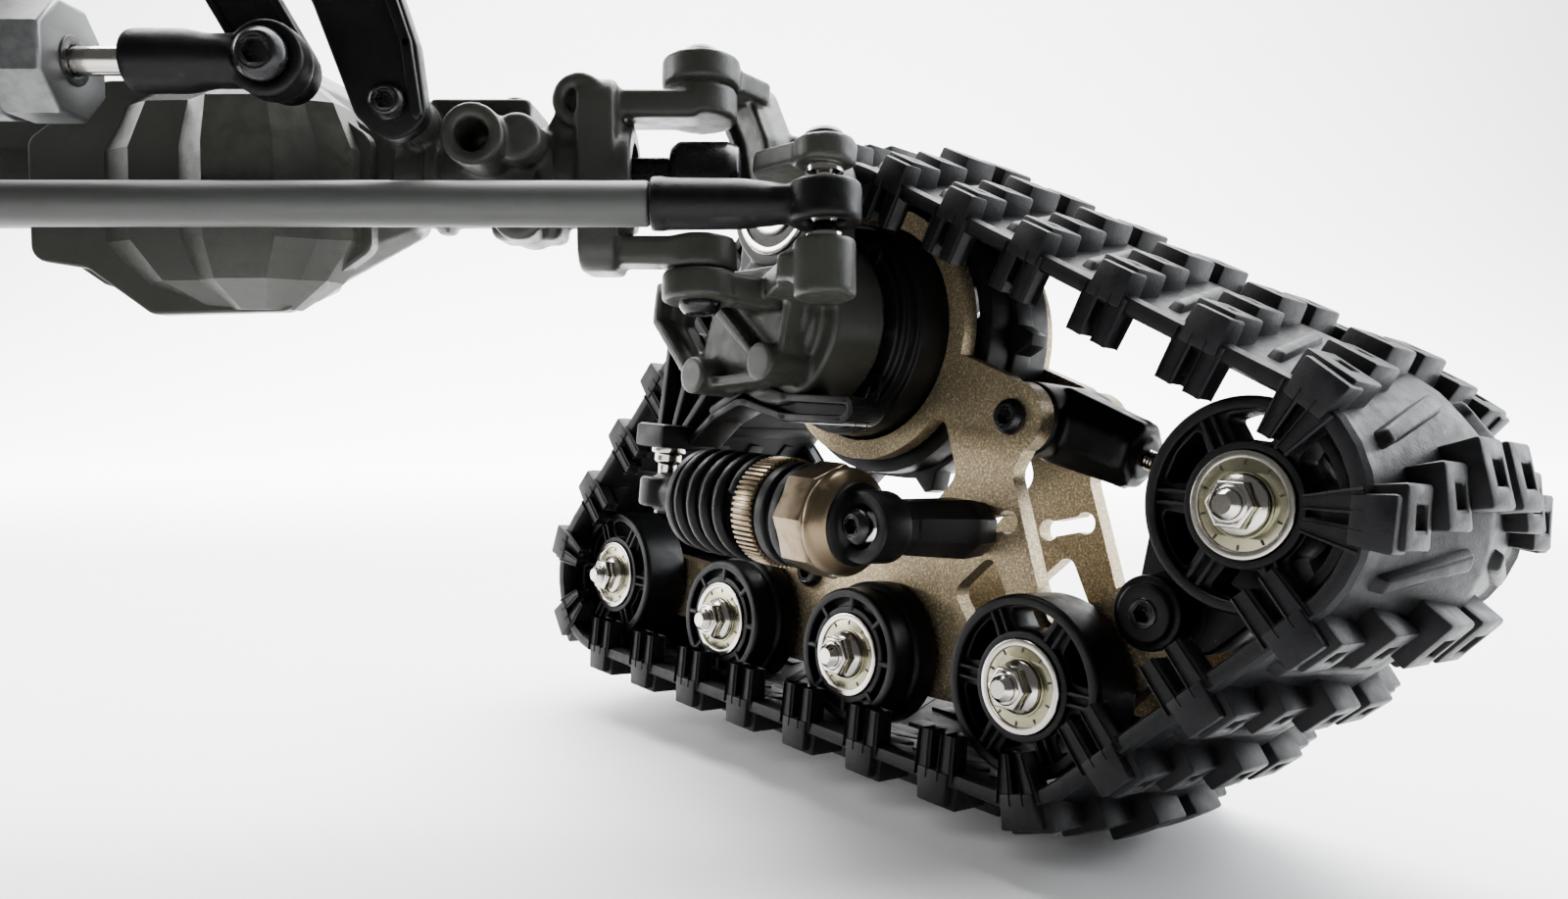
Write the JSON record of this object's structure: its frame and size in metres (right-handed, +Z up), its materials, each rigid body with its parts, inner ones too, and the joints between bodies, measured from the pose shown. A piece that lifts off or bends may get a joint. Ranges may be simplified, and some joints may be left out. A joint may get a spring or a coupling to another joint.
{
  "type": "tracked steering axle",
  "caption": "Steering portal axle with a triangular rubber track unit on each end, tie rod, track shocks and steering damper.",
  "frame": {"origin": "centre of the flat pad on top of the axle housing, midway between the kingpins", "axes": "+Z up, +X along the axle towards the vehicle's left, -Y forwards"},
  "size_m": [0.3421, 0.1859, 0.1102],
  "materials": {
    "grey_nylon": "moulded grey-green nylon, fine grain",
    "black_nylon": "moulded black nylon, soft sheen",
    "track_rubber": "black rubber, dull with a faint bloom",
    "blasted_bronze": "bead blasted and bronze anodised",
    "nickel_steel": "nickel plated, bright",
    "satin_alloy": "satin grey anodised"
  },
  "bodies": {
    "axle": {"axle_housing": "grey_nylon", "diff_cover": "grey_nylon", "front_bracket": "black_nylon", "damper_mount": "black_nylon"},
    "knuckle_left": {"knuckle_l": "grey_nylon", "portal_cover_l": "black_nylon", "torque_bracket_l": "black_nylon"},
    "track_frame_left": {"plate_inner_l": "blasted_bronze", "plate_outer_l": "blasted_bronze", "idler_arm_l": "black_nylon", "tensioner_l": "black_nylon", "shock_post_l": "black_nylon", "belt_l": "track_rubber", "shock_spring_l": "black_nylon", "idler_axle_l": "nickel_steel", "roller1_axle_l": "nickel_steel", "roller2_axle_l": "nickel_steel", "roller3_axle_l": "nickel_steel", "roller4_axle_l": "nickel_steel"},
    "sprocket_left": {"sprocket_l": "black_nylon"},
    "cv_cup_left": {"cv_cup_l": "nickel_steel"},
    "idler_left": {"idler_l": "black_nylon"},
    "roller1_left": {"roller1_l": "black_nylon"},
    "roller2_left": {"roller2_l": "black_nylon"},
    "roller3_left": {"roller3_l": "black_nylon"},
    "roller4_left": {"roller4_l": "black_nylon"},
    "track_shock_left": {"shock_body_l": "blasted_bronze"},
    "track_shock_rod_left": {"shock_rod_l": "nickel_steel"},
    "knuckle_right": {"knuckle_r": "grey_nylon", "portal_cover_r": "black_nylon", "torque_bracket_r": "black_nylon"},
    "track_frame_right": {"plate_inner_r": "blasted_bronze", "plate_outer_r": "blasted_bronze", "idler_arm_r": "black_nylon", "tensioner_r": "black_nylon", "shock_post_r": "black_nylon", "belt_r": "track_rubber", "shock_spring_r": "black_nylon", "idler_axle_r": "nickel_steel", "roller1_axle_r": "nickel_steel", "roller2_axle_r": "nickel_steel", "roller3_axle_r": "nickel_steel", "roller4_axle_r": "nickel_steel"},
    "sprocket_right": {"sprocket_r": "black_nylon"},
    "cv_cup_right": {"cv_cup_r": "nickel_steel"},
    "idler_right": {"idler_r": "black_nylon"},
    "roller1_right": {"roller1_r": "black_nylon"},
    "roller2_right": {"roller2_r": "black_nylon"},
    "roller3_right": {"roller3_r": "black_nylon"},
    "roller4_right": {"roller4_r": "black_nylon"},
    "track_shock_right": {"shock_body_r": "blasted_bronze"},
    "track_shock_rod_right": {"shock_rod_r": "nickel_steel"},
    "tie_rod": {"tie_rod": "satin_alloy", "tie_rod_end_l": "black_nylon", "tie_rod_end_r": "black_nylon"},
    "input_flange": {"input_flange": "nickel_steel"},
    "servo_arm": {"servo_arm": "black_nylon"},
    "damper_body": {"damper_body": "satin_alloy"},
    "damper_rod": {"damper_rod": "nickel_steel"}
  },
  "joints": [
    {"name": "steer_left", "type": "hinge", "parent": "axle", "child": "knuckle_left", "pos_m": [0.078, 0, -0.011], "axis": [0, 0.1317, 0.9913], "range_deg": [-80, 1]},
    {"name": "track_swing_left", "type": "hinge", "parent": "knuckle_left", "child": "track_frame_left", "pos_m": [0.10738, 0.02587, -0.02954], "axis": [0.7559, 0.649, -0.0863], "range_deg": [-6, 6], "stiffness_Nm_per_rad": 1.2, "deforming": ["shock_spring_l"]},
    {"name": "sprocket_spin_left", "type": "hinge", "parent": "knuckle_left", "child": "sprocket_left", "pos_m": [0.10738, 0.02587, -0.02954], "axis": [0.7559, 0.649, -0.0863], "continuous": true},
    {"name": "cv_spin_left", "type": "hinge", "parent": "axle", "child": "cv_cup_left", "pos_m": [0.078, 0, -0.011], "axis": [1, 0, 0], "continuous": true},
    {"name": "idler_spin_left", "type": "hinge", "parent": "track_frame_left", "child": "idler_left", "pos_m": [0.14587, -0.0216, -0.04953], "axis": [0.7559, 0.649, -0.0863], "continuous": true},
    {"name": "roller1_spin_left", "type": "hinge", "parent": "track_frame_left", "child": "roller1_left", "pos_m": [0.07286, 0.06081, -0.06924], "axis": [0.7559, 0.649, -0.0863], "continuous": true},
    {"name": "roller2_spin_left", "type": "hinge", "parent": "track_frame_left", "child": "roller2_left", "pos_m": [0.09194, 0.03816, -0.07238], "axis": [0.7559, 0.649, -0.0863], "continuous": true},
    {"name": "roller3_spin_left", "type": "hinge", "parent": "track_frame_left", "child": "roller3_left", "pos_m": [0.10968, 0.01742, -0.07305], "axis": [0.7559, 0.649, -0.0863], "continuous": true},
    {"name": "roller4_spin_left", "type": "hinge", "parent": "track_frame_left", "child": "roller4_left", "pos_m": [0.12809, -0.00388, -0.07196], "axis": [0.7559, 0.649, -0.0863], "continuous": true},
    {"name": "shock_pivot_left", "type": "hinge", "parent": "track_frame_left", "child": "track_shock_left", "pos_m": [0.09861, -0.01091, -0.05271], "axis": [0.7559, 0.649, -0.0863], "range_deg": [-4, 4]},
    {"name": "shock_slide_left", "type": "slide", "parent": "track_shock_left", "child": "track_shock_rod_left", "axis": [-0.649, 0.7601, 0.0319], "range_m": [-0.004, 0.004]},
    {"name": "steer_right", "type": "hinge", "parent": "axle", "child": "knuckle_right", "pos_m": [-0.078, 0, -0.011], "axis": [0, 0.1317, 0.9913], "range_deg": [-80.5, 1.5]},
    {"name": "track_swing_right", "type": "hinge", "parent": "knuckle_right", "child": "track_frame_right", "pos_m": [-0.10999, -0.02683, -0.02253], "axis": [0.7559, 0.649, -0.0863], "range_deg": [-6, 6], "stiffness_Nm_per_rad": 1.2, "deforming": ["shock_spring_r"]},
    {"name": "sprocket_spin_right", "type": "hinge", "parent": "knuckle_right", "child": "sprocket_right", "pos_m": [-0.10999, -0.02683, -0.02253], "axis": [0.7559, 0.649, -0.0863], "continuous": true},
    {"name": "cv_spin_right", "type": "hinge", "parent": "axle", "child": "cv_cup_right", "pos_m": [-0.078, 0, -0.011], "axis": [1, 0, 0], "continuous": true},
    {"name": "idler_spin_right", "type": "hinge", "parent": "track_frame_right", "child": "idler_right", "pos_m": [-0.07151, -0.07431, -0.04253], "axis": [0.7559, 0.649, -0.0863], "continuous": true},
    {"name": "roller1_spin_right", "type": "hinge", "parent": "track_frame_right", "child": "roller1_right", "pos_m": [-0.14452, 0.0081, -0.06224], "axis": [0.7559, 0.649, -0.0863], "continuous": true},
    {"name": "roller2_spin_right", "type": "hinge", "parent": "track_frame_right", "child": "roller2_right", "pos_m": [-0.12543, -0.01454, -0.06538], "axis": [0.7559, 0.649, -0.0863], "continuous": true},
    {"name": "roller3_spin_right", "type": "hinge", "parent": "track_frame_right", "child": "roller3_right", "pos_m": [-0.1077, -0.03528, -0.06605], "axis": [0.7559, 0.649, -0.0863], "continuous": true},
    {"name": "roller4_spin_right", "type": "hinge", "parent": "track_frame_right", "child": "roller4_right", "pos_m": [-0.08929, -0.05658, -0.06495], "axis": [0.7559, 0.649, -0.0863], "continuous": true},
    {"name": "shock_pivot_right", "type": "hinge", "parent": "track_frame_right", "child": "track_shock_right", "pos_m": [-0.07568, -0.02661, -0.05062], "axis": [0.7559, 0.649, -0.0863], "range_deg": [-4, 4]},
    {"name": "shock_slide_right", "type": "slide", "parent": "track_shock_right", "child": "track_shock_rod_right", "axis": [-0.649, 0.7601, 0.0319], "range_m": [-0.004, 0.004]},
    {"name": "tie_rod_pivot", "type": "hinge", "parent": "knuckle_left", "child": "tie_rod", "pos_m": [0.09263, -0.01779, -0.01662], "axis": [0, 0.1317, 0.9913], "range_deg": [-1.5, 80.5]},
    {"name": "input_spin", "type": "hinge", "parent": "axle", "child": "input_flange", "pos_m": [0.021, 0.0273, -0.01], "axis": [0, 1, 0], "continuous": true},
    {"name": "servo_arm_turn", "type": "hinge", "parent": "axle", "child": "servo_arm", "pos_m": [0.0255, -0.0175, 0.013], "axis": [0, -1, 0], "range_deg": [-14.5, 14.5]},
    {"name": "damper_pivot", "type": "hinge", "parent": "axle", "child": "damper_body", "pos_m": [-0.032, -0.0218, -0.0025], "axis": [0, -1, 0], "range_deg": [-1.9, 1.9]},
    {"name": "damper_slide", "type": "slide", "parent": "damper_body", "child": "damper_rod", "axis": [1, 0, 0], "range_m": [-0.006, 0.006]}
  ],
  "couplings": [
    {"joint": "cv_spin_left", "follows": "sprocket_spin_left", "ratio": -1.4},
    {"joint": "idler_spin_left", "follows": "sprocket_spin_left", "ratio": 1.8519},
    {"joint": "roller1_spin_left", "follows": "sprocket_spin_left", "ratio": 1.9048},
    {"joint": "roller2_spin_left", "follows": "sprocket_spin_left", "ratio": 2.2857},
    {"joint": "roller3_spin_left", "follows": "sprocket_spin_left", "ratio": 2.2857},
    {"joint": "roller4_spin_left", "follows": "sprocket_spin_left", "ratio": 1.9048},
    {"joint": "shock_pivot_left", "follows": "track_swing_left", "ratio": -0.4524},
    {"joint": "shock_slide_left", "follows": "track_swing_left", "m_per_rad": -0.025},
    {"joint": "cv_spin_right", "follows": "sprocket_spin_right", "ratio": -1.4},
    {"joint": "idler_spin_right", "follows": "sprocket_spin_right", "ratio": 1.8519},
    {"joint": "roller1_spin_right", "follows": "sprocket_spin_right", "ratio": 1.9048},
    {"joint": "roller2_spin_right", "follows": "sprocket_spin_right", "ratio": 2.2857},
    {"joint": "roller3_spin_right", "follows": "sprocket_spin_right", "ratio": 2.2857},
    {"joint": "roller4_spin_right", "follows": "sprocket_spin_right", "ratio": 1.9048},
    {"joint": "shock_pivot_right", "follows": "track_swing_right", "ratio": -0.4524},
    {"joint": "shock_slide_right", "follows": "track_swing_right", "m_per_rad": -0.025},
    {"joint": "steer_right", "follows": "steer_left", "ratio": 1},
    {"joint": "tie_rod_pivot", "follows": "steer_left", "ratio": -1},
    {"joint": "servo_arm_turn", "follows": "damper_pivot", "ratio": 7.389},
    {"joint": "damper_slide", "follows": "damper_pivot", "m_per_rad": 0.1145}
  ]
}
